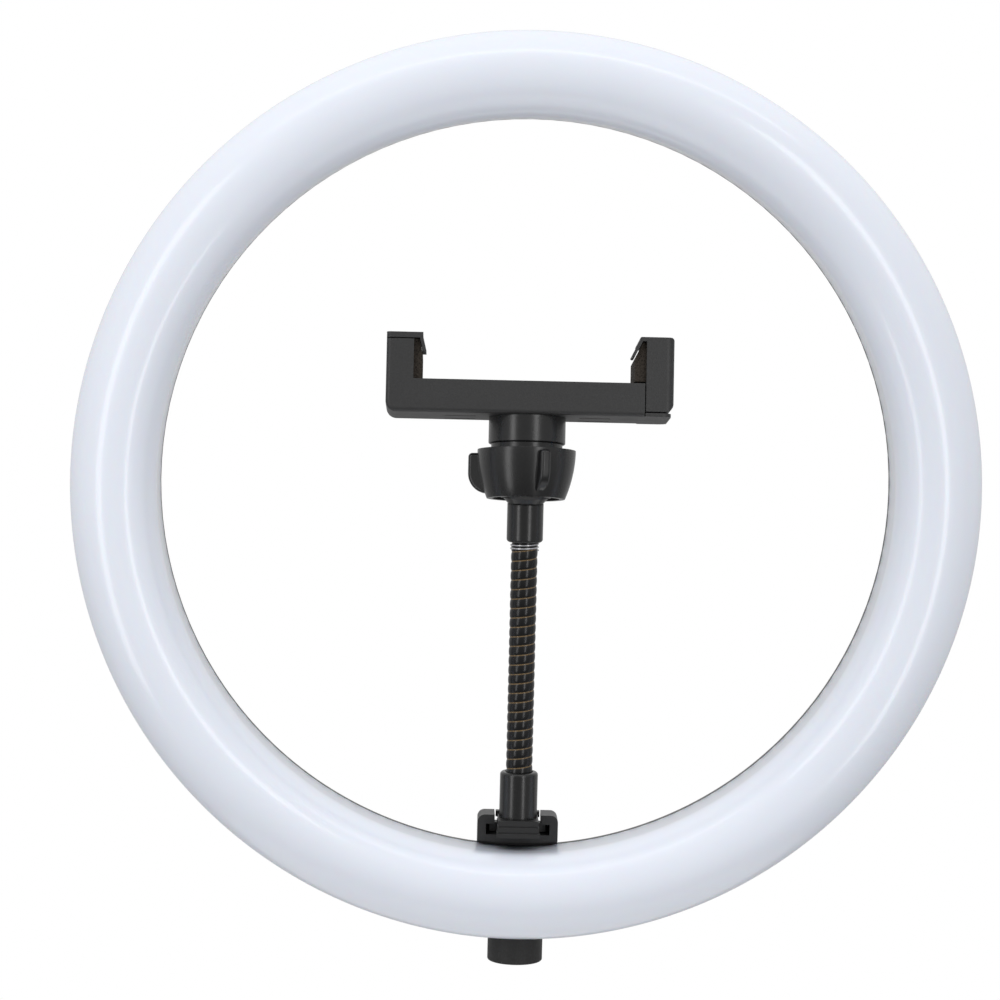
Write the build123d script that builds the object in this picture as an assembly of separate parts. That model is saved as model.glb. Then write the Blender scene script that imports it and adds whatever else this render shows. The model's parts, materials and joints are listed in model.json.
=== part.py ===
from build123d import *
from math import asin, cos, degrees, radians, sin, tan
import os

# Ring light on a tripod socket, with a gooseneck phone clamp standing in the middle of the ring.
# Millimetres. X right, Y away from the viewer (the light shines towards -Y), Z up.
# Origin: centre of the tripod socket's mouth.

# --- Ring ---------------------------------------------------------------------------------------
ring_outer_radius = 130.0
ring_inner_radius = 105.4
ring_centre_z = 138.7
ring_mid_radius = (ring_outer_radius + ring_inner_radius) / 2
dome_radius = (ring_outer_radius - ring_inner_radius) / 2
dome_centre_y = -10.9
diffuser_wall = 1.8
parting_y = 2.6
parting_gap = 0.1
housing_back_y = 9.2
housing_wall = 2.0
housing_floor_y = housing_back_y - housing_wall
housing_corner = 5.0
tongue_back_y = 4.3
tongue_thickness = 1.25
tongue_gap = 0.15

# --- Light engine -------------------------------------------------------------------------------
board_front_y = -2.4
board_thickness = 1.2
board_back_y = board_front_y + board_thickness
board_inner_radius = 108.2
board_outer_radius = 121.4
led_count = 120
led_row_radius = 113.5
led_size = (2.8, 0.8, 3.5)
resistor_count = 12
resistor_size = (1.3, 0.6, 2.0)
board_screw_count = 6
board_screw_radius = 118.6
boss_radius = 2.6
connector_size = (5.0, 3.2, 8.0)
connector_angle = -78.0

# --- Housing screws, cable gland ----------------------------------------------------------------
rear_screw_count = 6
rear_screw_radius = 123.8
rear_screw_first_angle = 0.0
rear_recess_depth = 1.0
post_radius = 2.0
post_front_y = -19.6
post_back_y = 6.9
gland_angle = -68.0
gland_radius = 5.0
gland_neck_radius = 3.4
gland_bore_radius = 2.0
gland_front_y = 6.0
gland_back_y = 12.2

# --- Tripod socket (quarter inch thread) --------------------------------------------------------
socket_radius = 8.0
socket_top_z = 10.7
socket_seat_z = 10.6
insert_radius = 4.2
thread_radius = 3.2
thread_length = 6.2
socket_screw_x = 4.2
socket_screw_y = 4.8

# --- Accessory shoe and the foot in it ----------------------------------------------------------
shoe_half_width = 11.7
shoe_front_y = 0.0
shoe_back_y = 9.2
shoe_floor_z = 36.8
shoe_cavity_half_width = 9.25
shoe_cavity_height = 3.15
shoe_mouth_half_width = 6.75
shoe_lip = 2.7
shoe_top_z = shoe_floor_z + shoe_cavity_height + shoe_lip
shoe_base_low_z = 32.3
shoe_clearance = 1.1
shoe_corner = 2.1
shoe_stop_length = 0.9
shoe_screw_x = 4.2
shoe_screw_y = 5.2
shoe_counterbore = 1.2
shoe_boss_heights = (28.6, 31.9)
foot_gap = 0.25
foot_core_half_width = 5.8
foot_core_front_y = -6.6
foot_bands = ((6.2, 37.05, 38.4), (6.0, 38.8, 40.2), (5.85, 40.6, 42.1))
foot_band_front_y = -7.0
foot_back_y = 8.0
foot_flange_front_y = 4.0
foot_top_z = 42.1
foot_stop_front_y = 5.7
foot_stop_top_z = 42.8

# --- Gooseneck ----------------------------------------------------------------------------------
hose_radius = 3.85
hose_bottom_z = 55.6
hose_top_z = 122.3
link_count = 7
pivot_count = link_count + 1
link_length = (hose_top_z - hose_bottom_z) / pivot_count
first_pivot_z = hose_bottom_z + link_length / 2
nose_radius = 2.5
cup_radius = 2.6
link_relief_angle = 11.0
stub_bore_radius = 4.05
lower_ferrule_radius = 5.5
lower_ferrule_floor_z = 45.9
upper_ferrule_radius = 5.25
upper_ferrule_top_z = 133.65
upper_stub_top_z = 127.8
ferrule_rim = 0.9

# --- Ball joint: heights from here on are measured from the ball's centre ------------------------
ball_centre_z = 140.1
ball_radius = 8.6
ball_flat = -4.6
neck_low = -6.15
neck_high = -4.3
neck_radii = (5.25, 6.9)
ball_shank_radius = 2.65
ball_shank_end = -11.0
shank_bore_radius = 2.7
socket_sphere_radius = 8.7
pad_outer_radius = 9.9
pad_half_angle = 22.0
pocket_radius = 10.0
pocket_floor = 6.0
head_lean = 9.0
collar_radius = 11.1
collar_bottom = 10.7
collet_radius = 10.3
collet_thread_radius = 10.7
collet_thread_pitch = 2.0
collet_bottom = -3.0
collet_tip_radius = 9.4
collet_slit = 1.2
collet_slit_top = 6.0
nut_bore_radius = 11.05
nut_mouth_radius = 9.7
nut_bottom = -5.0
nut_top = 9.0
nut_rim_radius = 14.2
nut_rib_radius = 17.0
nut_rib_top = 8.2
nut_rib_width = 3.0
nut_rib_angles = (18.0, 138.0, 258.0)

# --- Phone clamp ---------------------------------------------------------------------------------
bar_left = -40.9
bar_right = 33.2
bar_bottom = 18.5
bar_top = 28.0
bar_wall = 2.0
clamp_front = -12.0
clamp_back = 12.0
cover_back = -10.5
upright_inner = -33.1
upright_top = 39.7
roof_right = -30.5
cover_top_gap = 0.35
roof_top = 41.3
lip_back = -2.0
cavity_left = -36.6
bar_corner = 3.0
plate_right = 40.8
plate_top = 19.5
jaw_inner = 33.5
jaw_outer = 41.5
jaw_bottom = 19.9
jaw_top = 41.3
jaw_roof_left = 31.5
jaw_roof_low = 40.1
tongue_left = -20.0
tongue_clearance = 0.4
pad_half_depth = 10.5
vent_centre_x = 19.4
vent_length = 8.9
vent_width = 1.2
vent_depths = (-2.0, 7.0)
spring_radius = 2.0
spring_wire_radius = 0.3
spring_turns = 12
spring_y = 5.0


# --- Small helpers --------------------------------------------------------------------------------
def rod_x(radius, left, right):
    """A rod along X."""
    return Pos((left + right) / 2, 0, 0) * Rot(0, 90, 0) * Cylinder(radius, right - left)


def rod_y(radius, front, back):
    """A rod along Y."""
    return Pos(0, (front + back) / 2, 0) * Rot(90, 0, 0) * Cylinder(radius, back - front)


def rod_z(radius, low, high):
    """A rod along Z."""
    return Pos(0, 0, (low + high) / 2) * Cylinder(radius, high - low)


def block(x, y, z):
    """A box from its three (low, high) pairs."""
    middle = Pos(sum(x) / 2, sum(y) / 2, sum(z) / 2)
    return middle * Box(x[1] - x[0], y[1] - y[0], z[1] - z[0])


def slab(outline, front, back):
    """An outline drawn in X and height, pushed out along Y from front to back."""
    return Pos(0, back, 0) * Rot(90, 0, 0) * extrude(outline, back - front)


def polygon(*points):
    """A filled outline through the points."""
    return make_face(Polyline(*points, close=True))


def outline_of(pieces):
    """A filled outline made of lines and arcs that follow each other."""
    return make_face(Wire([edge for piece in pieces for edge in piece.edges()]))


def around_ring(angle, radius, y=0.0):
    """The place at an angle on the ring, 0 at +X and 90 at the top, with its own X pointing outward."""
    return Pos(0, 0, ring_centre_z) * Rot(0, -angle, 0) * Pos(radius, y, 0)


def evenly(count, first=0.0):
    """Angles spread evenly round a circle."""
    return [first + 360 * i / count for i in range(count)]


def screw(head_radius, head_height, shank_radius, length):
    """A cross-recess screw: its head stands on the plane z = 0 and its shank goes down."""
    slot = (head_radius * 1.1, head_radius * 0.3, head_height)
    head = rod_z(head_radius, 0, head_height)
    head = fillet(head.edges().group_by(Axis.Z)[-1], head_height * 0.35)
    recess = Box(*slot) + Box(slot[1], slot[0], slot[2])
    return head + rod_z(shank_radius, -length, 0) - Pos(0, 0, head_height) * recess


def in_head(shape):
    """From the head's own frame, centred on the ball and upright, to its leaning place."""
    return Pos(0, 0, ball_centre_z) * Rot(-head_lean, 0, 0) * shape


def save(name, shape):
    """Write one node; a list becomes a group of separate solids."""
    if isinstance(shape, list):
        shape = Compound(children=shape)
    export_step(shape, f"parts/{name}.step")


# --- Ring ------------------------------------------------------------------------------------------
def tray_section(outer, inner, front, back, corner):
    """Section of a solid ring with rounded back edges: x is the radius, y the depth."""
    face = Pos((outer + inner) / 2, (front + back) / 2) * Rectangle(outer - inner, back - front)
    return fillet(face.vertices().group_by(Axis.Y)[-1], corner)


def dome_section(radius, back):
    """Section of a half-round ring with a short straight skirt behind it."""
    skirt_length = back - dome_centre_y
    skirt = Pos(ring_mid_radius, (back + dome_centre_y) / 2) * Rectangle(2 * radius, skirt_length)
    half = Pos(ring_mid_radius, dome_centre_y) * Circle(radius)
    half -= Pos(ring_mid_radius, dome_centre_y + radius) * Rectangle(2 * radius, 2 * radius)
    return half + skirt


def ring_body(section):
    """Turn a section round the ring's axis."""
    return Pos(0, 0, ring_centre_z) * revolve(section, Axis.Y)


def ring_outline(gap):
    """The whole ring as one solid, grown by a gap, for trimming what is seated on it."""
    outer = ring_outer_radius + gap
    inner = ring_inner_radius - gap
    tray = tray_section(outer, inner, parting_y - parting_gap, housing_back_y + gap, housing_corner)
    return ring_body(dome_section(dome_radius + gap, parting_y - parting_gap / 2) + tray)


def screw_places(x, y):
    """Left and right places of a pair of screws."""
    return [Pos(side * x, y, 0) for side in (-1, 1)]


def make_housing():
    outer = tray_section(
        ring_outer_radius, ring_inner_radius, parting_y, housing_back_y, housing_corner
    )
    inner = tray_section(
        ring_outer_radius - housing_wall,
        ring_inner_radius + housing_wall,
        parting_y - 1,
        housing_floor_y,
        housing_corner - housing_wall,
    )
    housing = ring_body(outer - inner)
    for angle in evenly(board_screw_count, 30):
        boss = rod_y(boss_radius, board_back_y, housing_floor_y + 0.5)
        boss -= rod_y(1.1, board_back_y - 1, housing_floor_y)
        housing += around_ring(angle, board_screw_radius) * boss
    for angle in evenly(rear_screw_count, rear_screw_first_angle):
        hole = rod_y(1.4, housing_floor_y - 1, housing_back_y + 1)
        hole += rod_y(2.6, housing_back_y - rear_recess_depth, housing_back_y + 1)
        housing -= around_ring(angle, rear_screw_radius) * hole
    shoe_boss = block((-2.6, 2.6), (3.0, housing_floor_y + 0.4), shoe_boss_heights)
    shoe_hole = rod_z(1.1, shoe_boss_heights[0] + 0.5, shoe_floor_z)
    for place in screw_places(shoe_screw_x, 0):
        housing += place * shoe_boss
    for place in screw_places(shoe_screw_x, shoe_screw_y):
        housing -= place * shoe_hole
    head_space = rod_z(2.2, socket_seat_z, socket_seat_z + 2)
    for place in screw_places(socket_screw_x, socket_screw_y):
        housing -= place * (rod_z(1.2, socket_seat_z - 3, socket_seat_z + 1) + head_space)
    gland_hole = rod_y(gland_neck_radius + 0.1, housing_floor_y - 1, housing_back_y + 1)
    return housing - around_ring(gland_angle, ring_mid_radius) * gland_hole


def tongue_section(wall_side, inward):
    """Section of one locating tongue of the diffuser, beside a housing wall at radius wall_side."""
    near = wall_side + inward * tongue_gap
    far = near + inward * tongue_thickness
    centre_y = (parting_y - 2.5 + tongue_back_y) / 2
    thin = Pos((near + far) / 2, centre_y) * Rectangle(tongue_thickness, tongue_back_y - parting_y + 2.5)
    root_y = parting_y - parting_gap
    root = Pos((wall_side + far) / 2 - inward * 0.2, root_y - 1) * Rectangle(abs(far - wall_side) + 0.4, 2)
    return thin + root


def make_diffuser():
    back = parting_y - parting_gap
    section = dome_section(dome_radius, back) - dome_section(dome_radius - diffuser_wall, back + 0.5)
    section += tongue_section(ring_outer_radius - housing_wall, -1)
    section += tongue_section(ring_inner_radius + housing_wall, 1)
    diffuser = ring_body(section)
    for angle in evenly(rear_screw_count, rear_screw_first_angle):
        post = rod_y(post_radius, post_front_y, post_back_y) - rod_y(0.95, -2, post_back_y + 1)
        diffuser += around_ring(angle, rear_screw_radius) * post
    for heights in ((9.7, 13.7), (27.7, 32.7)):
        diffuser -= block((-8.0, 8.0), (back, tongue_back_y + 1), heights)
    return diffuser


def make_board():
    section = Rectangle(board_outer_radius - board_inner_radius, board_thickness)
    middle = (board_outer_radius + board_inner_radius) / 2
    board = ring_body(Pos(middle, board_front_y + board_thickness / 2) * section)
    for angle in evenly(board_screw_count, 30):
        hole = rod_y(1.3, board_front_y - 1, board_back_y + 1)
        board -= around_ring(angle, board_screw_radius) * hole
    return board


def make_leds(offset):
    """Every second light of the row."""
    leds = []
    step = 360 / led_count
    lens = rod_y(1.1, -led_size[1], -led_size[1] / 2 + 0.15)
    chip = Box(*led_size) - lens
    for i in range(offset, led_count, 2):
        leds.append(around_ring(i * step, led_row_radius, board_front_y - led_size[1] / 2) * chip)
    return leds


def make_resistors():
    place_y = board_front_y - resistor_size[1] / 2
    chip = Box(*resistor_size)
    return [around_ring(a, board_screw_radius, place_y) * chip for a in evenly(resistor_count, 15)]


def make_board_screws():
    part = Rot(90, 0, 0) * screw(2.0, 1.3, 1.05, 5.5)
    angles = evenly(board_screw_count, 30)
    return [around_ring(a, board_screw_radius, board_front_y) * part for a in angles]


def make_connector():
    """Two-pole lead connector behind the board, open towards the gland."""
    body = Box(*connector_size) - Pos(0.8, 0.4, 0) * Box(4.0, 1.8, 6.4)
    pins = [Pos(0, 0.4, z) * Box(3.6, 0.5, 0.5) for z in (-1.25, 1.25)]
    for pin in pins:
        body += pin
    return around_ring(connector_angle, led_row_radius, board_back_y + connector_size[1] / 2) * body


def make_rear_screws():
    part = Rot(-90, 0, 0) * screw(2.4, 0.95, 0.9, 7.5)
    seat = housing_back_y - rear_recess_depth
    angles = evenly(rear_screw_count, rear_screw_first_angle)
    return [around_ring(a, rear_screw_radius, seat) * part for a in angles]


def make_gland():
    """Flexible gland snapped into the back wall, with a plain bore for a round lead."""
    body = rod_y(gland_neck_radius, gland_front_y, gland_back_y)
    body += rod_y(gland_neck_radius + 1.2, gland_front_y, housing_floor_y)
    flange = rod_y(gland_radius, housing_back_y, housing_back_y + 1.4)
    body += fillet(flange.edges().group_by(Axis.Y)[-1], 0.5)
    body = fillet(body.edges().group_by(Axis.Y)[-1], 0.6)
    body -= rod_y(gland_bore_radius, gland_front_y - 1, gland_back_y + 1)
    return around_ring(gland_angle, ring_mid_radius) * body


# --- Tripod socket -----------------------------------------------------------------------------------
def make_socket():
    body = rod_z(socket_radius, 0, socket_top_z)
    body = fillet(body.edges().group_by(Axis.Z)[0], 0.6)
    body -= ring_outline(0.05)
    body -= rod_z(insert_radius, -1, thread_length)
    for place in screw_places(socket_screw_x, socket_screw_y):
        body -= place * rod_z(1.1, socket_seat_z - 6.5, socket_top_z)
    return body.solids().sort_by(SortBy.VOLUME)[-1]


def make_insert():
    body = rod_z(insert_radius, 0, thread_length) - rod_z(thread_radius, -1, thread_length + 1)
    return chamfer(body.edges().filter_by(GeomType.CIRCLE).group_by(Axis.Z)[0].sort_by(SortBy.LENGTH)[0], 0.3)


def make_socket_screws():
    part = Pos(0, 0, socket_seat_z) * screw(1.9, 1.2, 1.05, 6.0)
    return [place * part for place in screw_places(socket_screw_x, socket_screw_y)]


# --- Accessory shoe and foot -----------------------------------------------------------------------
def diffuser_clearance():
    """A thin ring of space inside the diffuser, which keeps the shoe off it."""
    middle = Pos(ring_inner_radius, parting_y - 5)
    return ring_body(middle * Rectangle(2 * shoe_clearance, 10))


def make_shoe():
    """Channel with two inward lips, open at the front, its base shaped to the inside of the ring."""
    profile = Pos(0, (shoe_base_low_z + shoe_top_z) / 2) * Rectangle(
        2 * shoe_half_width, shoe_top_z - shoe_base_low_z
    )
    profile = fillet(profile.vertices().group_by(Axis.Y)[-1], shoe_corner)
    cavity = Pos(0, shoe_floor_z + shoe_cavity_height / 2) * Rectangle(
        2 * shoe_cavity_half_width, shoe_cavity_height
    )
    mouth = Pos(0, shoe_top_z) * Rectangle(2 * shoe_mouth_half_width, 2 * shoe_lip + 0.2)
    shoe = slab(profile - cavity - mouth, shoe_front_y, shoe_back_y)
    shoe += block(
        (-shoe_cavity_half_width, shoe_cavity_half_width),
        (shoe_back_y - shoe_stop_length, shoe_back_y),
        (shoe_floor_z - 0.5, shoe_floor_z + 2.2),
    )
    shoe -= ring_outline(0.05) + diffuser_clearance()
    head_hole = rod_z(2.1, shoe_floor_z - shoe_counterbore, shoe_floor_z + 1)
    for place in screw_places(shoe_screw_x, shoe_screw_y):
        shoe -= place * (rod_z(1.2, shoe_base_low_z - 1, shoe_floor_z) + head_hole)
    return shoe.solids().sort_by(SortBy.VOLUME)[-1]


def make_shoe_screws():
    part = Pos(0, 0, shoe_floor_z - shoe_counterbore) * screw(2.0, 1.1, 1.05, 5.8)
    return [place * part for place in screw_places(shoe_screw_x, shoe_screw_y)]


def make_foot():
    """Flanged foot that slides in the shoe; its block is stepped into three bands."""
    low = shoe_floor_z + foot_gap
    flange_top = shoe_floor_z + shoe_cavity_height - foot_gap
    half_flange = shoe_cavity_half_width - foot_gap
    foot = block((-half_flange, half_flange), (foot_flange_front_y, foot_back_y), (low, flange_top))
    foot = chamfer(foot.edges().filter_by(Axis.Z), 0.8)
    half = foot_core_half_width
    foot += block((-half, half), (foot_core_front_y, foot_back_y), (low, foot_top_z))
    for half, band_low, band_high in foot_bands:
        foot += block((-half, half), (foot_band_front_y, foot_back_y), (band_low, band_high))
    stop_depth = (foot_stop_front_y, foot_back_y)
    foot += block((-6.4, 6.4), stop_depth, (foot_top_z - 1, foot_stop_top_z))
    return foot - rod_z(1.6, low - 1, foot_top_z + 1) - rod_z(2.9, low - 1, low + 1.9)


def make_lower_ferrule():
    body = rod_z(lower_ferrule_radius, foot_top_z, hose_bottom_z)
    body = fillet(body.edges().group_by(Axis.Z)[-1], ferrule_rim)
    body -= rod_z(stub_bore_radius, lower_ferrule_floor_z, hose_bottom_z + 1)
    return body - rod_z(1.45, foot_top_z - 1, lower_ferrule_floor_z)


def make_foot_screw():
    seat = shoe_floor_z + foot_gap + 1.9
    return Pos(0, 0, seat) * Rot(180, 0, 0) * screw(2.7, 1.6, 1.4, 6.0)


# --- Gooseneck ----------------------------------------------------------------------------------------
def pivot_height(index):
    """Height of a pivot, counted from the lowest."""
    return first_pivot_z + index * link_length


def relief(radius):
    """How far a link's end face has fallen away from the pivot plane at a radius."""
    return radius * tan(radians(link_relief_angle))


def link_end_points(radius, sign, pivot):
    """The meeting point of a sphere and the coned end face, and the end face's outer corner."""
    angle = radians(link_relief_angle)
    meet = (radius * cos(angle), pivot + sign * radius * sin(angle))
    return meet, (hose_radius, pivot + sign * relief(hose_radius))


def hose_piece(low, high, nose, cup):
    """One piece of the gooseneck, turned about Z, with a ball nose below and a cup above if asked."""
    right = []
    if nose:
        meet, corner = link_end_points(nose_radius, 1, low)
        right.append(ThreePointArc((0, low - nose_radius), arc_middle(nose_radius, -1, low, meet), meet))
        right.append(Line(meet, corner))
    else:
        corner = (hose_radius, low)
        right.append(Line((0, low), corner))
    if cup:
        meet, top = link_end_points(cup_radius, -1, high)
        right.append(Line(corner, top))
        right.append(Line(top, meet))
        end = (0, high - cup_radius)
        right.append(ThreePointArc(meet, arc_middle(cup_radius, -1, high, meet), end))
    else:
        top = (hose_radius, high)
        end = (0, high)
        right.append(Line(corner, top))
        right.append(Line(top, end))
    right.append(Line(end, right[0] @ 0))
    section = Rot(90, 0, 0) * outline_of(right)
    return revolve(section, Axis.Z)


def arc_middle(radius, sign, pivot, meet):
    """A point half way along a sphere's outline, between its lowest point and where it meets a cone."""
    meet_angle = degrees(asin((meet[1] - pivot) / radius))
    half = radians((meet_angle + sign * 90) / 2)
    return radius * cos(half), pivot + radius * sin(half)


def make_link(index):
    """Link between pivot index and the next one up."""
    return hose_piece(pivot_height(index), pivot_height(index + 1), True, True)


def make_lower_stub():
    return hose_piece(lower_ferrule_floor_z, pivot_height(0), False, True)


def make_upper_stub():
    return hose_piece(pivot_height(link_count), upper_stub_top_z, True, False)


def make_upper_ferrule():
    body = rod_z(upper_ferrule_radius, hose_top_z + 0.3, upper_ferrule_top_z)
    body = fillet(body.edges().group_by(Axis.Z)[0], ferrule_rim)
    body -= rod_z(stub_bore_radius, hose_top_z - 1, upper_stub_top_z)
    return body - rod_z(shank_bore_radius, ball_centre_z + ball_shank_end - 0.3, upper_ferrule_top_z + 1)


# --- Ball joint -----------------------------------------------------------------------------------------
def make_ball():
    """Ball with a short coned neck and a shank that turns in the upper ferrule."""
    ball = Sphere(ball_radius) - block((-9, 9), (-9, 9), (-9, ball_flat))
    neck = Pos(0, 0, (neck_low + neck_high) / 2) * Cone(*neck_radii, neck_high - neck_low)
    ball += neck + rod_z(ball_shank_radius, ball_shank_end, 0)
    return Pos(0, 0, ball_centre_z) * ball


def make_friction_pad():
    """Cap of a spherical shell that bears on the top of the ball."""
    cone_height = pad_outer_radius + 1
    cone_radius = cone_height * tan(radians(pad_half_angle))
    shell = Sphere(pad_outer_radius) - Sphere(socket_sphere_radius)
    cone = Pos(0, 0, cone_height / 2) * Cone(0, cone_radius, cone_height)
    return in_head(shell & cone)


def make_collar():
    """Collar with a split, threaded collet under it that closes on the ball."""
    collar = rod_z(collar_radius, collar_bottom, bar_bottom)
    collar = fillet(collar.edges().group_by(Axis.Z)[0], 0.5)
    tip_height = 2.2
    collar += rod_z(collet_radius, collet_bottom + tip_height, collar_bottom + 1)
    tip_z = collet_bottom + tip_height / 2
    collar += Pos(0, 0, tip_z) * Cone(collet_tip_radius, collet_radius, tip_height)
    height = collet_bottom + tip_height + collet_thread_pitch
    while height < collar_bottom:
        ring = Pos(0, 0, height) * Cone(collet_thread_radius, collet_radius - 0.2, 0.5)
        collar += ring + Pos(0, 0, height - 0.45) * Cone(collet_radius - 0.2, collet_thread_radius, 0.4)
        height += collet_thread_pitch
    pocket = Sphere(pocket_radius) & block((-11, 11), (-11, 11), (pocket_floor, 11))
    collar -= Sphere(socket_sphere_radius) + pocket
    slit = block((-11, 11), (-collet_slit / 2, collet_slit / 2), (collet_bottom - 1, collet_slit_top))
    collar -= slit + Rot(0, 0, 90) * slit
    collar -= rod_z(1.45, collar_bottom + 0.6, bar_bottom + 1)
    return in_head(collar)


def make_collar_screw():
    return in_head(Pos(0, 0, bar_bottom + 0.8) * screw(2.8, 1.1, 1.4, 6.5))


def make_nut():
    """Bowl-shaped lock nut with three finger ribs."""
    shoulder = (nut_rim_radius, nut_top - 0.8)
    edges = [
        Line((nut_mouth_radius, nut_bottom), (11.3, nut_bottom)),
        ThreePointArc((11.3, nut_bottom), (13.35, 1.5), shoulder),
        Line(shoulder, (nut_rim_radius, nut_top)),
        Line((nut_rim_radius, nut_top), (nut_bore_radius, nut_top)),
        Line((nut_bore_radius, nut_top), (nut_bore_radius, nut_bottom + 3)),
        Line((nut_bore_radius, nut_bottom + 3), (nut_mouth_radius, nut_bottom + 0.9)),
        Line((nut_mouth_radius, nut_bottom + 0.9), (nut_mouth_radius, nut_bottom)),
    ]
    nut = revolve(Rot(90, 0, 0) * outline_of(edges), Axis.Z)
    rib_edges = [
        Polyline((11.2, -3.4), (11.2, nut_rib_top), (nut_rib_radius, nut_rib_top), (nut_rib_radius, 2.4)),
        ThreePointArc((nut_rib_radius, 2.4), (15.6, -1.5), (12.6, -3.4)),
        Line((12.6, -3.4), (11.2, -3.4)),
    ]
    rib_face = outline_of(rib_edges)
    rib_face = fillet(rib_face.vertices().sort_by_distance((nut_rib_radius, nut_rib_top, 0))[0], 1.2)
    rib = slab(rib_face, -nut_rib_width / 2, nut_rib_width / 2)
    rib = fillet(rib.edges().filter_by(lambda edge: edge.center().X > 15.5 and abs(edge.center().Y) > 1), 0.9)
    for angle in nut_rib_angles:
        nut += Rot(0, 0, angle - 90) * rib
    return in_head(nut)


# --- Phone clamp -------------------------------------------------------------------------------------------
def l_outline(top):
    """The clamp's front outline: the bar with the fixed jaw's upright at its left end."""
    outline = polygon(
        (bar_left, bar_bottom),
        (bar_right, bar_bottom),
        (bar_right, bar_top),
        (upright_inner, bar_top),
        (upright_inner, top),
        (bar_left, top),
    )
    return fillet(outline.vertices().sort_by_distance((bar_left, bar_bottom, 0))[0], bar_corner)


def lip(top, bottom, thickness):
    """Outline of a slanted lip that hangs from a roof; both ends give its inner edge."""
    return polygon(top, bottom, (bottom[0] + thickness, bottom[1]), (top[0] + thickness, top[1]))


def cover_screw_places():
    """Where the two cover posts and their screws stand, in X and height."""
    return [Pos(-37.0, 0, 34.5), Pos(-38.7, 0, 24.0)]


def tab_heights():
    """The cover's snap tabs: above and below the tongue's channel."""
    return [(bar_bottom + 0.6, bar_bottom + 1.4), (bar_top - 1.4, bar_top - 0.6)]


def make_jaw_plate():
    """The bar's bottom plate, carried on under the moving jaw."""
    depth = (clamp_front, clamp_back)
    plate = block((bar_right + 0.2, plate_right), depth, (bar_bottom, plate_top))
    plate = fillet(plate.edges().filter_by(Axis.Z).group_by(Axis.X)[-1], 2.5)
    return plate + block((bar_right - 1, bar_right + 1), (cover_back, clamp_back), (bar_bottom, plate_top))


def make_clamp_body():
    """Rear shell of the bar and the fixed jaw, with the roof that overhangs the phone."""
    body = slab(l_outline(upright_top), cover_back, clamp_back)
    roof = block((bar_left, roof_right), (clamp_front, clamp_back), (upright_top, roof_top))
    roof = fillet(roof.edges().filter_by(Axis.Z).group_by(Axis.X)[0].sort_by(Axis.Y)[0], 1.3)
    body += roof
    back_left = body.edges().filter_by(Axis.Z).group_by(Axis.X)[0].group_by(Axis.Y)[-1]
    body = fillet(back_left, 1.5)
    body += slab(lip((-31.5, upright_top + 0.3), (-30.5, 35.9), 1.0), clamp_front, lip_back)
    body += make_jaw_plate()
    cavity_z = (bar_bottom + bar_wall, bar_top - bar_wall)
    body -= block((cavity_left, bar_right + 1), (cover_back - 1, clamp_back - bar_wall), cavity_z)
    middle = (bar_bottom + bar_top) / 2
    for y in (-spring_y, spring_y):
        peg = rod_x(1.3, cavity_left - 0.5, cavity_left + 1.5)
        body += Pos(0, y, middle) * peg
    for place in cover_screw_places():
        body -= place * rod_y(1.7, cover_back - 1, -3.8)
        body -= place * rod_y(1.0, -5, clamp_back + 1)
        body -= place * rod_y(2.1, clamp_back - 1.2, clamp_back + 1)
    for low, high in tab_heights():
        body -= block((25.6, 31.4), (cover_back - 1, -8.2), (low - 0.2, high + 0.2))
    for x in (-vent_centre_x, vent_centre_x):
        for y in vent_depths:
            vent = Box(vent_length, vent_width, 3 * bar_wall)
            body -= Pos(x, y, bar_bottom) * vent
    body -= rod_z(1.6, bar_bottom - 1, bar_bottom + 3) + rod_z(3.0, bar_bottom + 0.8, bar_bottom + 3)
    return in_head(body)


def make_clamp_cover():
    """Thin front cover of the bar and the fixed jaw, with two screw posts and two snap tabs."""
    cover = slab(l_outline(upright_top - cover_top_gap), clamp_front, cover_back - 0.05)
    front = cover.edges().group_by(Axis.Y)[0]
    low = front.filter_by(lambda edge: edge.center().Z < bar_bottom + 3)
    left = front.filter_by(Axis.Z).group_by(Axis.X)[0]
    cover = fillet(low + left, 1.3)
    for place in cover_screw_places():
        cover += place * (rod_y(1.6, cover_back - 0.5, -4) - rod_y(0.95, -9.5, -3))
    for low, high in tab_heights():
        cover += block((26, 31), (cover_back - 0.5, -8.5), (low, high))
    return in_head(cover)


def make_cover_screws():
    part = Rot(-90, 0, 0) * screw(1.9, 1.1, 0.9, 19.0)
    return [in_head(p * Pos(0, clamp_back - 1.2, 0) * part) for p in cover_screw_places()]


def make_fixed_pad():
    """Foam on the fixed jaw, cut to the slant of the lip."""
    low = bar_top + 0.1
    outline = polygon(
        (upright_inner, low), (-30.5, low), (-30.5, 35.4), (-30.7, 35.9), (-31.6, 39.5), (upright_inner, 39.5)
    )
    return in_head(slab(outline, -pad_half_depth, pad_half_depth))


def make_springs():
    """Two extension springs between the bar's end wall and the jaw's tongue."""
    left = cavity_left + spring_wire_radius + 0.05
    length = tongue_left - cavity_left - 2 * spring_wire_radius - 0.1
    springs = []
    for y in (-spring_y, spring_y):
        path = Helix(length / spring_turns, length, spring_radius)
        wire = sweep(Plane(path @ 0, z_dir=path % 0) * Circle(spring_wire_radius), path=path)
        place = Pos(left, y, (bar_bottom + bar_top) / 2) * Rot(0, 90, 0)
        springs.append(in_head(place * wire))
    return springs


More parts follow.
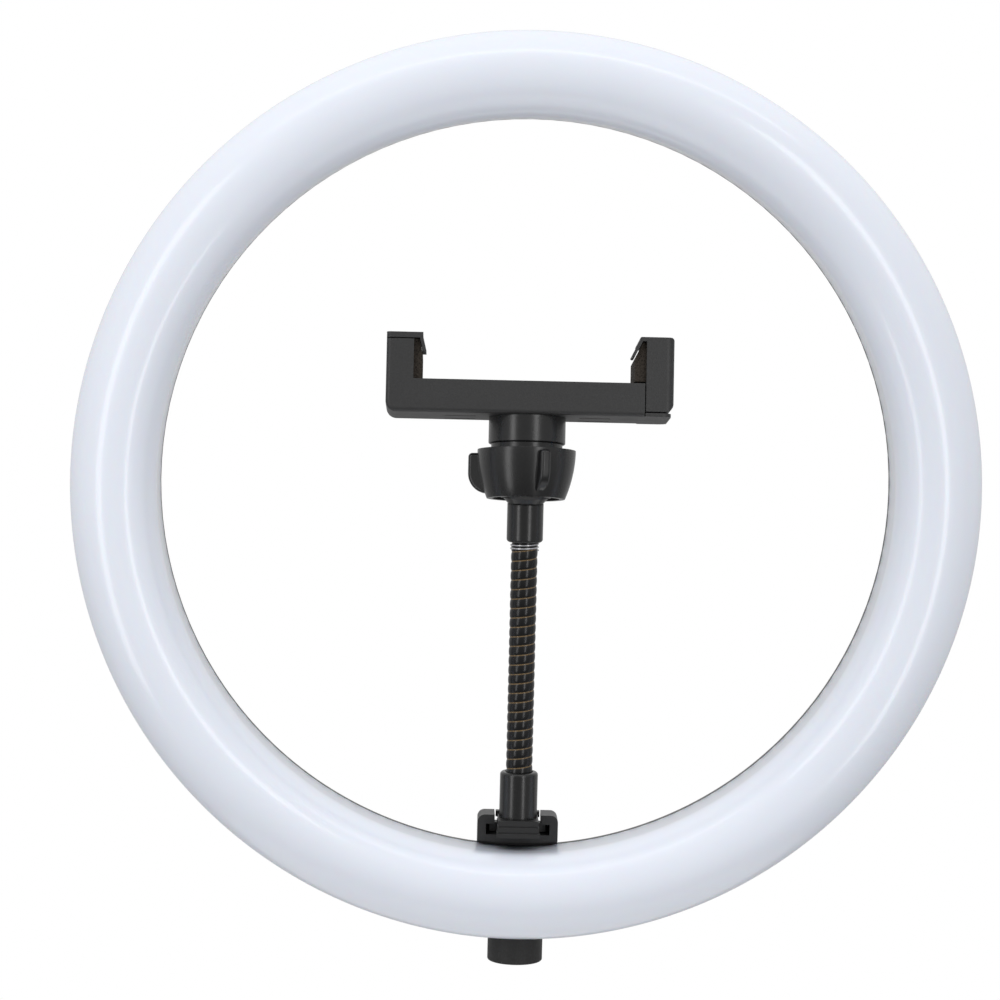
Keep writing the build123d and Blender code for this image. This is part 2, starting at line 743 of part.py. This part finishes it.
def make_sliding_jaw():
    """Moving jaw, its roof and lip, and the tongue that runs inside the bar."""
    front = Pos((jaw_inner + jaw_outer) / 2, (jaw_bottom + jaw_top) / 2)
    front *= Rectangle(jaw_outer - jaw_inner, jaw_top - jaw_bottom)
    front = fillet(front.vertices().sort_by_distance((jaw_outer, jaw_bottom, 0))[0], 2.6)
    front = fillet(front.vertices().sort_by_distance((jaw_outer, jaw_top, 0))[0], 1.0)
    plan = block((jaw_inner, jaw_outer), (clamp_front, clamp_back), (jaw_bottom, jaw_top))
    plan = fillet(plan.edges().filter_by(Axis.Z).group_by(Axis.X)[-1], 2.2)
    jaw = slab(front, clamp_front, clamp_back) & plan
    depth = (clamp_front, clamp_back)
    roof = block((jaw_roof_left, jaw_inner + 1), depth, (jaw_roof_low, jaw_top))
    jaw += fillet(roof.edges().filter_by(Axis.Y).group_by(Axis.X)[0].sort_by(Axis.Z)[-1], 0.6)
    blade = lip((31.4, jaw_roof_low + 0.1), (29.1, 35.6), 1.0)
    tip = blade.vertices().group_by(Axis.Y)[0]
    jaw += slab(fillet(tip, 0.35), clamp_front, lip_back)
    low = bar_bottom + bar_wall + tongue_clearance
    high = bar_top - bar_wall - tongue_clearance
    depth = (cover_back + tongue_clearance, clamp_back - bar_wall - tongue_clearance)
    jaw += block((tongue_left, jaw_inner + 1), depth, (low, high))
    for y in (-spring_y, spring_y):
        jaw += Pos(0, y, (low + high) / 2) * rod_x(1.3, tongue_left - 1.5, tongue_left + 0.5)
    return in_head(jaw)


def make_jaw_pad():
    """Foam on the moving jaw, cut to the slant of its lip."""
    low = bar_top + 0.6
    outline = polygon(
        (jaw_inner, low), (jaw_inner, 39.9), (32.5, 39.9), (30.35, 35.6), (30.2, 35.3), (30.2, low)
    )
    return in_head(slab(outline, -pad_half_depth, pad_half_depth))


# --- Write every node -----------------------------------------------------------------------------------------
os.makedirs("parts", exist_ok=True)
save("rear_housing", make_housing())
save("diffuser", make_diffuser())
save("led_board", make_board())
save("cool_white_leds", make_leds(0))
save("warm_white_leds", make_leds(1))
save("series_resistors", make_resistors())
save("board_screws", make_board_screws())
save("lead_connector", make_connector())
save("rear_screws", make_rear_screws())
save("cable_gland", make_gland())
save("tripod_socket", make_socket())
save("socket_insert", make_insert())
save("socket_screws", make_socket_screws())
save("accessory_shoe", make_shoe())
save("shoe_screws", make_shoe_screws())
save("shoe_foot", make_foot())
save("lower_ferrule", make_lower_ferrule())
save("foot_screw", make_foot_screw())
save("hose_stub_lower", make_lower_stub())
for link_index in range(link_count):
    save(f"hose_link_{link_index + 1:02d}", make_link(link_index))
save("hose_stub_upper", make_upper_stub())
save("upper_ferrule", make_upper_ferrule())
save("ball_stud", make_ball())
save("friction_pad", make_friction_pad())
save("socket_collar", make_collar())
save("collar_screw", make_collar_screw())
save("lock_nut", make_nut())
save("clamp_body", make_clamp_body())
save("clamp_cover", make_clamp_cover())
save("cover_screws", make_cover_screws())
save("fixed_pad", make_fixed_pad())
save("clamp_springs", make_springs())
save("sliding_jaw", make_sliding_jaw())
save("jaw_pad", make_jaw_pad())
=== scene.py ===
import json
import math

import bpy
from mathutils import Matrix, Vector


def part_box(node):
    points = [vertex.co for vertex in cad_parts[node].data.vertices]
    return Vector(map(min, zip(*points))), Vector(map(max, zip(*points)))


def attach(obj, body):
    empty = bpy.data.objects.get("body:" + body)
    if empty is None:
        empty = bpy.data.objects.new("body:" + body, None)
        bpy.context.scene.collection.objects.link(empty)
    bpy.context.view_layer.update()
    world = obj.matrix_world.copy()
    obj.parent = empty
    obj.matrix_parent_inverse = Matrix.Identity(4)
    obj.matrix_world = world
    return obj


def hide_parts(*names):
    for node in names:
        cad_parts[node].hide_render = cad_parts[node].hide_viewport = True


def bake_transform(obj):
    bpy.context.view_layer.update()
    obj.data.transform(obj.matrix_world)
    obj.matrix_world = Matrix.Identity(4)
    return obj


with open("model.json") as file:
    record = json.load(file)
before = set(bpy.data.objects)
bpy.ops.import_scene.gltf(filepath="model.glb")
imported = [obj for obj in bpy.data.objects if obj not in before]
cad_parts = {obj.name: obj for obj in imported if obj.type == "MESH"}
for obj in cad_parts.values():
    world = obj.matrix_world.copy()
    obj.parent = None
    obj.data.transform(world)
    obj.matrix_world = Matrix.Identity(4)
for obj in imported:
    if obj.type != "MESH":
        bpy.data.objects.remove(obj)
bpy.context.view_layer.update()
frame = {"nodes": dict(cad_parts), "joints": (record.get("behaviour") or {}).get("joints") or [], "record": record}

# Looks of the ring light, in metres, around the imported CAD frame.
# X right, Y away from the lit side, Z up; the origin is the tripod socket's mouth.

MM = 0.001
RECORD = frame["record"]


# --- Places read from the frame ----------------------------------------------------------------
def ring_facts():
    """Centre height, inner and outer radius, and parting line of the ring."""
    low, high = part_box("rear_housing")
    centre = (low.z + high.z) / 2
    outer = (high.x - low.x) / 2
    spots = [v.co for v in frame["nodes"]["rear_housing"].data.vertices]
    inner = min(math.hypot(p.x, p.z - centre) for p in spots)
    outer_wall = outer - 0.1 * MM
    parting = min(p.y for p in spots if math.hypot(p.x, p.z - centre) > outer_wall)
    return centre, inner, outer, parting


RING_Z, RING_INNER, RING_OUTER, PARTING_Y = ring_facts()
RING_MIDDLE = (RING_INNER + RING_OUTER) / 2
ARM_JOINTS = sorted(
    (j for j in frame["joints"] if j["name"].startswith("arm_")), key=lambda j: j["pos_m"][2]
)


# --- Mesh helpers --------------------------------------------------------------------------------
def new_object(name, mesh):
    obj = bpy.data.objects.new(name, mesh)
    bpy.context.scene.collection.objects.link(obj)
    for face in mesh.polygons:
        face.use_smooth = True
    return obj


def mesh_from(name, points, faces):
    mesh = bpy.data.meshes.new(name)
    mesh.from_pydata(points, [], faces)
    mesh.validate()
    mesh.update()
    return mesh


def lathe_y(name, profile, centre_z, steps):
    """Turn a closed profile of (radius, y) points round the ring's axis."""
    points, faces = [], []
    count = len(profile)
    for i in range(steps):
        angle = 2 * math.pi * i / steps
        for radius, y in profile:
            points.append((radius * math.cos(angle), y, centre_z + radius * math.sin(angle)))
    for i in range(steps):
        here, there = i * count, (i + 1) % steps * count
        for k in range(count):
            m = (k + 1) % count
            faces.append((here + k, here + m, there + m, there + k))
    return new_object(name, mesh_from(name, points, faces))


# --- Material helpers ----------------------------------------------------------------------------
class Shader:
    """A Principled material whose nodes are added one by one."""

    def __init__(self, name):
        self.material = bpy.data.materials.new(name)
        self.material.use_nodes = True
        self.tree = self.material.node_tree
        self.main = self.tree.nodes["Principled BSDF"]

    def set(self, **values):
        for key, value in values.items():
            self.main.inputs[key.replace("_", " ")].default_value = value
        return self

    def node(self, kind, **values):
        made = self.tree.nodes.new("ShaderNode" + kind)
        for key, value in values.items():
            if key in made.inputs:
                made.inputs[key].default_value = value
            else:
                setattr(made, key, value)
        return made

    def link(self, out, into):
        self.tree.links.new(out, into)

    def place(self):
        """Object coordinates, which follow the piece as it moves."""
        return self.node("TexCoord").outputs["Object"]

    def noise(self, scale, detail=4.0, roughness=0.6):
        made = self.node("TexNoise", Scale=scale, Detail=detail, Roughness=roughness)
        self.link(self.place(), made.inputs["Vector"])
        return made.outputs["Fac"]

    def ramp(self, fac, stops):
        made = self.node("ValToRGB")
        elements = made.color_ramp.elements
        while len(elements) < len(stops):
            elements.new(0.5)
        for element, (position, colour) in zip(elements, stops):
            element.position = position
            element.color = (*colour, 1.0)
        self.link(fac, made.inputs["Fac"])
        return made.outputs["Color"]

    def spread(self, fac, low, high):
        """A value that runs from low to high as fac runs from 0 to 1."""
        made = self.node("MapRange")
        made.inputs["To Min"].default_value = low
        made.inputs["To Max"].default_value = high
        self.link(fac, made.inputs["Value"])
        return made.outputs["Result"]

    def times(self, first, second):
        made = self.node("Math", operation="MULTIPLY")
        self.link(first, made.inputs[0])
        self.link(second, made.inputs[1])
        return made.outputs["Value"]

    def bump(self, height, distance, strength=1.0, normal=None):
        made = self.node("Bump", Strength=strength, Distance=distance)
        self.link(height, made.inputs["Height"])
        if normal is not None:
            self.link(normal, made.inputs["Normal"])
        return made.outputs["Normal"]


def moulded(name, colour, rough=(0.38, 0.5), grain=2600.0, depth=0.00002, edge=0.0002, edge_wear_and_highlight_gain=1.7):
    """Moulded or painted part: fine grain, uneven gloss, rounded edges lightened as wear and as a painted
    highlight.
    """
    s = Shader(name)
    s.set(Specular_IOR_Level=0.5)
    bevel = s.node("Bevel", Radius=edge)
    bevel.samples = 4
    flat = s.node("NewGeometry").outputs["Normal"]
    dot = s.node("VectorMath", operation="DOT_PRODUCT")
    s.link(bevel.outputs["Normal"], dot.inputs[0])
    s.link(flat, dot.inputs[1])
    # Edges are made lighter in colour: partly wear, partly a painted highlight along every edge.
    edge_wear_and_highlight_mask = s.node("MapRange")
    edge_wear_and_highlight_mask.inputs["From Min"].default_value = 0.995
    edge_wear_and_highlight_mask.inputs["From Max"].default_value = 0.85
    s.link(dot.outputs["Value"], edge_wear_and_highlight_mask.inputs["Value"])
    patches = s.spread(s.noise(45.0), 0.82, 1.18)
    light = s.node("MapRange")
    light.inputs["To Min"].default_value = 1.0
    light.inputs["To Max"].default_value = edge_wear_and_highlight_gain
    s.link(edge_wear_and_highlight_mask.outputs["Result"], light.inputs["Value"])
    grains = s.noise(grain, 2.0)
    shade = s.times(s.times(patches, s.spread(grains, 0.45, 1.55)), light.outputs["Result"])
    tint = s.node("VectorMath", operation="SCALE")
    tint.inputs[0].default_value = colour
    s.link(shade, tint.inputs["Scale"])
    s.link(tint.outputs["Vector"], s.main.inputs["Base Color"])
    s.link(s.spread(s.noise(160.0), *rough), s.main.inputs["Roughness"])
    s.link(s.bump(grains, depth, 1.0, bevel.outputs["Normal"]), s.main.inputs["Normal"])
    return s.material


def milk_acrylic():
    """Milk-white diffuser: gloss skin over a pale blue-white body, with faint moulding waves."""
    s = Shader("milk_acrylic")
    s.set(Specular_IOR_Level=0.5, Subsurface_Weight=0.12, Subsurface_Scale=0.004)
    s.set(Coat_Weight=0.35, Coat_Roughness=0.07)
    body = s.ramp(s.noise(9.0), [(0.3, (0.77, 0.802, 0.89)), (0.7, (0.795, 0.827, 0.912))])
    s.link(body, s.main.inputs["Base Color"])
    s.link(s.spread(s.noise(30.0), 0.26, 0.34), s.main.inputs["Roughness"])
    s.link(s.bump(s.noise(700.0, 2.0), 0.000006), s.main.inputs["Normal"])
    return s.material


def metal(name, colour, rough=(0.22, 0.4), grain=900.0, depth=0.000008):
    """Bare metal with turning marks and uneven shine."""
    s = Shader(name)
    s.set(Metallic=1.0)
    dark = tuple(c * 0.8 for c in colour)
    s.link(s.ramp(s.noise(220.0), [(0.3, dark), (0.7, colour)]), s.main.inputs["Base Color"])
    s.link(s.spread(s.noise(500.0), *rough), s.main.inputs["Roughness"])
    s.link(s.bump(s.noise(grain, 3.0), depth), s.main.inputs["Normal"])
    return s.material


def foam(name, colour):
    """Open-pored foam rubber, with painted shade darkening the pores."""
    s = Shader(name)
    s.set(Specular_IOR_Level=0.25)
    cells = s.node("TexVoronoi", Scale=1500.0)
    s.link(s.place(), cells.inputs["Vector"])
    # The pore pits are darkened in colour: painted shade where the bump sinks.
    dark = tuple(c * 0.35 for c in colour)
    s.link(s.ramp(cells.outputs["Distance"], [(0.1, dark), (0.5, colour)]), s.main.inputs["Base Color"])
    s.link(s.spread(s.noise(300.0), 0.75, 0.95), s.main.inputs["Roughness"])
    s.link(s.bump(cells.outputs["Distance"], 0.00025), s.main.inputs["Normal"])
    return s.material


def coated_coil():
    """Glossy black coil with a thin brassy line in its groove."""
    s = Shader("coated_coil")
    s.set(Specular_IOR_Level=0.32)
    groove = s.node("Attribute", attribute_name="groove").outputs["Fac"]
    black, gold = (0.005, 0.005, 0.0052), (0.18, 0.12, 0.055)
    stops = [(0.86, black), (0.915, gold), (0.95, gold), (0.985, (0.004, 0.004, 0.004))]
    s.link(s.ramp(groove, stops), s.main.inputs["Base Color"])
    s.link(s.spread(s.noise(420.0), 0.14, 0.3), s.main.inputs["Roughness"])
    s.link(s.bump(s.noise(1800.0, 2.0), 0.00001), s.main.inputs["Normal"])
    return s.material


def make_materials():
    """One material for each slot of the record."""
    return {
        "housing_black": moulded("housing_black", (0.012, 0.012, 0.0125), (0.32, 0.45)),
        "diffuser_white": milk_acrylic(),
        "board_white": moulded("board_white", (0.72, 0.74, 0.72), (0.4, 0.5)),
        "led_cool": moulded("led_cool", (0.86, 0.84, 0.40), (0.4, 0.6)),
        "led_warm": moulded("led_warm", (0.86, 0.52, 0.14), (0.4, 0.6)),
        "resistor_black": moulded("resistor_black", (0.03, 0.03, 0.03)),
        "connector_cream": moulded("connector_cream", (0.72, 0.67, 0.52), (0.45, 0.6)),
        "screw_steel": metal("screw_steel", (0.30, 0.30, 0.31)),
        "gland_rubber": moulded("gland_rubber", (0.016, 0.016, 0.016), (0.6, 0.75)),
        "socket_black": moulded("socket_black", (0.010, 0.010, 0.010), (0.5, 0.65), 1500.0, 0.00006),
        "insert_brass": metal("insert_brass", (0.80, 0.58, 0.26)),
        "shoe_black": moulded("shoe_black", (0.011, 0.011, 0.0112), (0.35, 0.5)),
        "ferrule_black": moulded("ferrule_black", (0.007, 0.007, 0.007), (0.2, 0.3), 1400.0, 0.00001),
        "hose_black": coated_coil(),
        "ball_black": moulded("ball_black", (0.010, 0.010, 0.010), (0.2, 0.3)),
        "pad_nylon": moulded("pad_nylon", (0.65, 0.65, 0.58), (0.4, 0.6)),
        "nut_black": moulded("nut_black", (0.007, 0.007, 0.0072), (0.2, 0.32), 1400.0, 0.00001),
        "clamp_black": moulded("clamp_black", (0.02, 0.02, 0.0204), (0.42, 0.55), 2400.0, 0.00003),
        "jaw_rubber": foam("jaw_rubber", (0.035, 0.028, 0.022)),
        "spring_steel": metal("spring_steel", (0.62, 0.62, 0.64)),
    }


def dress_cad_nodes(materials):
    """Give every CAD node the material of its slot in the record."""
    for row in RECORD["subparts"]:
        mesh = frame["nodes"][row["node"]].data
        mesh.materials.clear()
        mesh.materials.append(materials[row["material_slot"]])


# --- Diffuser --------------------------------------------------------------------------------------
def make_diffuser(materials):
    """Half-round cover with a straight skirt and a hollow inside, turned finer than the CAD mesh."""
    wall = 1.8 * MM
    seam = 0.1 * MM
    back = PARTING_Y - seam
    radius = (RING_OUTER - RING_INNER) / 2
    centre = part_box("diffuser")[0].y + radius
    steps = 40
    profile = []
    for turn, r in ((1, radius), (-1, radius - wall)):
        profile.append((RING_MIDDLE + turn * r, back))
        for i in range(steps + 1):
            angle = math.pi * i / steps
            profile.append((RING_MIDDLE + turn * r * math.cos(angle), centre - r * math.sin(angle)))
        profile.append((RING_MIDDLE - turn * r, back))
    diffuser = lathe_y("milk_diffuser", profile, RING_Z, 288)
    diffuser.data.materials.append(materials["diffuser_white"])
    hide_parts("diffuser")
    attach(diffuser, "root")


# --- Gooseneck --------------------------------------------------------------------------------------
COIL_PITCH = 2.75 * MM
COIL_DEPTH = 0.3 * MM
COIL_ROWS = 18
COIL_SIDES = 72


def coil_radius(radius, angle, z):
    """Radius of the wound coil, and how near its groove is (1 in the groove)."""
    phase = (z / COIL_PITCH - angle / (2 * math.pi)) % 1.0
    near = abs(2 * phase - 1)
    return radius - COIL_DEPTH * (1 - math.sqrt(max(0.0, 1 - near * near))), near


def coil_piece(name, radius, low, high):
    """A closed length of coil between two heights."""
    rows = max(2, round((high - low) / COIL_PITCH * COIL_ROWS))
    points, grooves, faces = [], [], []
    for row in range(rows + 1):
        z = low + (high - low) * row / rows
        for side in range(COIL_SIDES):
            angle = 2 * math.pi * side / COIL_SIDES
            r, near = coil_radius(radius, angle, z)
            points.append((r * math.cos(angle), r * math.sin(angle), z))
            grooves.append(near)
    for row in range(rows):
        for side in range(COIL_SIDES):
            a, b = row * COIL_SIDES + side, row * COIL_SIDES + (side + 1) % COIL_SIDES
            faces.append((a, b, b + COIL_SIDES, a + COIL_SIDES))
    faces.append(tuple(reversed(range(COIL_SIDES))))
    faces.append(tuple(range(rows * COIL_SIDES, (rows + 1) * COIL_SIDES)))
    mesh = mesh_from(name, points, faces)
    mesh.attributes.new("groove", "FLOAT", "POINT").data.foreach_set("value", grooves)
    obj = new_object(name, mesh)
    for cap in mesh.polygons[-2:]:
        cap.use_smooth = False
        for key in cap.edge_keys:
            mesh.edges[mesh.edge_keys.index(key)].use_edge_sharp = True
    return obj


def hose_radius():
    low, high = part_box("hose_link_01")
    return (high.x - low.x) / 2


def make_hose(materials):
    """Wound skin of the gooseneck, one length for each pivot."""
    radius = hose_radius()
    heights = [j["pos_m"][2] for j in ARM_JOINTS]
    step = heights[1] - heights[0]
    tuck_low, tuck_high = 0.6 * MM, 0.8 * MM
    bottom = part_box("lower_ferrule")[1].z - tuck_low
    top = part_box("upper_ferrule")[0].z + tuck_high
    cuts = [bottom] + [h + step / 2 for h in heights[:-1]] + [top]
    nodes = [["hose_stub_lower"]] + [[f"hose_link_{i + 1:02d}"] for i in range(len(heights) - 1)]
    nodes[-1].append("hose_stub_upper")
    for i, joint in enumerate(ARM_JOINTS):
        piece = coil_piece(f"hose_skin_{i + 1:02d}", radius, cuts[i], cuts[i + 1])
        piece.data.materials.append(materials["hose_black"])
        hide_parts(*nodes[i])
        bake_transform(piece)


def make_end_coil(materials):
    """Bright wire that binds the top of the hose, two turns under the upper ferrule."""
    radius = hose_radius() + 0.08 * MM
    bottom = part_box("upper_ferrule")[0].z - 2.35 * MM
    wire, pitch, turns, sides, steps = 0.24 * MM, 0.95 * MM, 2.0, 10, 144
    points, faces = [], []
    for i in range(steps + 1):
        angle = 2 * math.pi * turns * i / steps
        height = bottom + pitch * turns * i / steps
        for k in range(sides):
            around = 2 * math.pi * k / sides
            r = radius + wire * math.cos(around)
            points.append((r * math.cos(angle), r * math.sin(angle), height + wire * math.sin(around)))
    for i in range(steps):
        for k in range(sides):
            a, b = i * sides + k, i * sides + (k + 1) % sides
            faces.append((a, b, b + sides, a + sides))
    faces.append(tuple(range(sides)))
    faces.append(tuple(reversed(range(steps * sides, (steps + 1) * sides))))
    coil = new_object("end_coil", mesh_from("end_coil", points, faces))
    coil.data.materials.append(materials["spring_steel"])
    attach(coil, "arm_head")


# --- Camera, lights, floor ---------------------------------------------------------------------------
def aim(obj, place, target):
    obj.location = place
    obj.rotation_euler = (Vector(target) - Vector(place)).to_track_quat("-Z", "Y").to_euler()


def make_camera():
    """Long lens from the front, slightly above and left of the ring's centre, and slightly rolled."""
    place = Vector((-25.0 * MM, -0.95, RING_Z + 80 * MM))
    target = Vector((-7.4 * MM, 0.0, RING_Z - 4.1 * MM))
    camera = bpy.data.cameras.new("camera")
    camera.lens = 119.0
    camera.sensor_width = 36.0
    obj = bpy.data.objects.new("camera", camera)
    bpy.context.scene.collection.objects.link(obj)
    look = (target - place).to_track_quat("-Z", "Y").to_matrix().to_4x4()
    roll = Matrix.Rotation(math.radians(1.35), 4, "Z")
    obj.matrix_world = Matrix.Translation(place) @ look @ roll
    bpy.context.scene.camera = obj


def soft_box(name, azimuth, elevation, distance, size, radiance):
    """A rectangular light facing the ring; azimuth 0 is straight in front, positive to the right."""
    light = bpy.data.lights.new(name, "AREA")
    light.shape = "RECTANGLE"
    light.size, light.size_y = size
    light.energy = radiance * math.pi * size[0] * size[1]
    obj = bpy.data.objects.new(name, light)
    bpy.context.scene.collection.objects.link(obj)
    turn, lift = math.radians(azimuth), math.radians(elevation)
    way = Vector((math.sin(turn) * math.cos(lift), -math.cos(turn) * math.cos(lift), math.sin(lift)))
    centre = Vector((0.0, 0.0, RING_Z))
    aim(obj, centre + way * distance, centre)


def make_lights():
    soft_box("left_strip", -45.0, 4.0, 0.45, (0.10, 0.5), 3.3)
    soft_box("right_strip", 27.0, 4.0, 0.50, (0.09, 0.5), 4.3)
    soft_box("top_strip", 0.0, 66.0, 0.60, (0.9, 0.05), 3.6)


def make_world():
    """White to the camera; to all else a soft room, dimmer in front, brighter above and behind."""
    world = bpy.data.worlds.new("studio")
    bpy.context.scene.world = world
    world.use_nodes = True
    nodes, links = world.node_tree.nodes, world.node_tree.links
    room = nodes["Background"]
    white = nodes.new("ShaderNodeBackground")
    white.inputs["Color"].default_value = (1, 1, 1, 1)
    white.inputs["Strength"].default_value = 1.0
    place = nodes.new("ShaderNodeTexCoord")
    split = nodes.new("ShaderNodeSeparateXYZ")
    links.new(place.outputs["Generated"], split.inputs["Vector"])
    levels = []
    for axis, limits in (("Z", (-0.8, 0.9, 0.22, 1.12)), ("Y", (-0.95, -0.1, 0.70, 1.0))):
        level = nodes.new("ShaderNodeMapRange")
        for socket, value in zip(("From Min", "From Max", "To Min", "To Max"), limits):
            level.inputs[socket].default_value = value
        links.new(split.outputs[axis], level.inputs["Value"])
        levels.append(level)
    product = nodes.new("ShaderNodeMath")
    product.operation = "MULTIPLY"
    links.new(levels[0].outputs["Result"], product.inputs[0])
    links.new(levels[1].outputs["Result"], product.inputs[1])
    links.new(product.outputs["Value"], room.inputs["Strength"])
    room.inputs["Color"].default_value = (1.0, 1.0, 1.0, 1.0)
    path = nodes.new("ShaderNodeLightPath")
    mix = nodes.new("ShaderNodeMixShader")
    links.new(path.outputs["Is Camera Ray"], mix.inputs["Fac"])
    links.new(room.outputs["Background"], mix.inputs[1])
    links.new(white.outputs["Background"], mix.inputs[2])
    links.new(mix.outputs["Shader"], nodes["World Output"].inputs["Surface"])


def make_floor():
    """Round pale floor below the light."""
    steps, radius, drop = 96, 0.5, 0.5
    points = [(0.0, 0.0, -drop)]
    for i in range(steps):
        angle = 2 * math.pi * i / steps
        points.append((radius * math.cos(angle), radius * math.sin(angle), -drop))
    faces = [(0, i + 1, (i + 1) % steps + 1) for i in range(steps)]
    floor = new_object("floor", mesh_from("floor", points, faces))
    s = Shader("pale_floor")
    s.set(Roughness=0.8, Base_Color=(0.93, 0.93, 0.93, 1.0))
    floor.data.materials.append(s.material)


# --- Put it together -----------------------------------------------------------------------------------
bpy.context.scene.view_settings.view_transform = "Standard"
materials = make_materials()
dress_cad_nodes(materials)
make_diffuser(materials)
make_hose(materials)
make_end_coil(materials)
make_camera()
make_lights()
make_world()
make_floor()
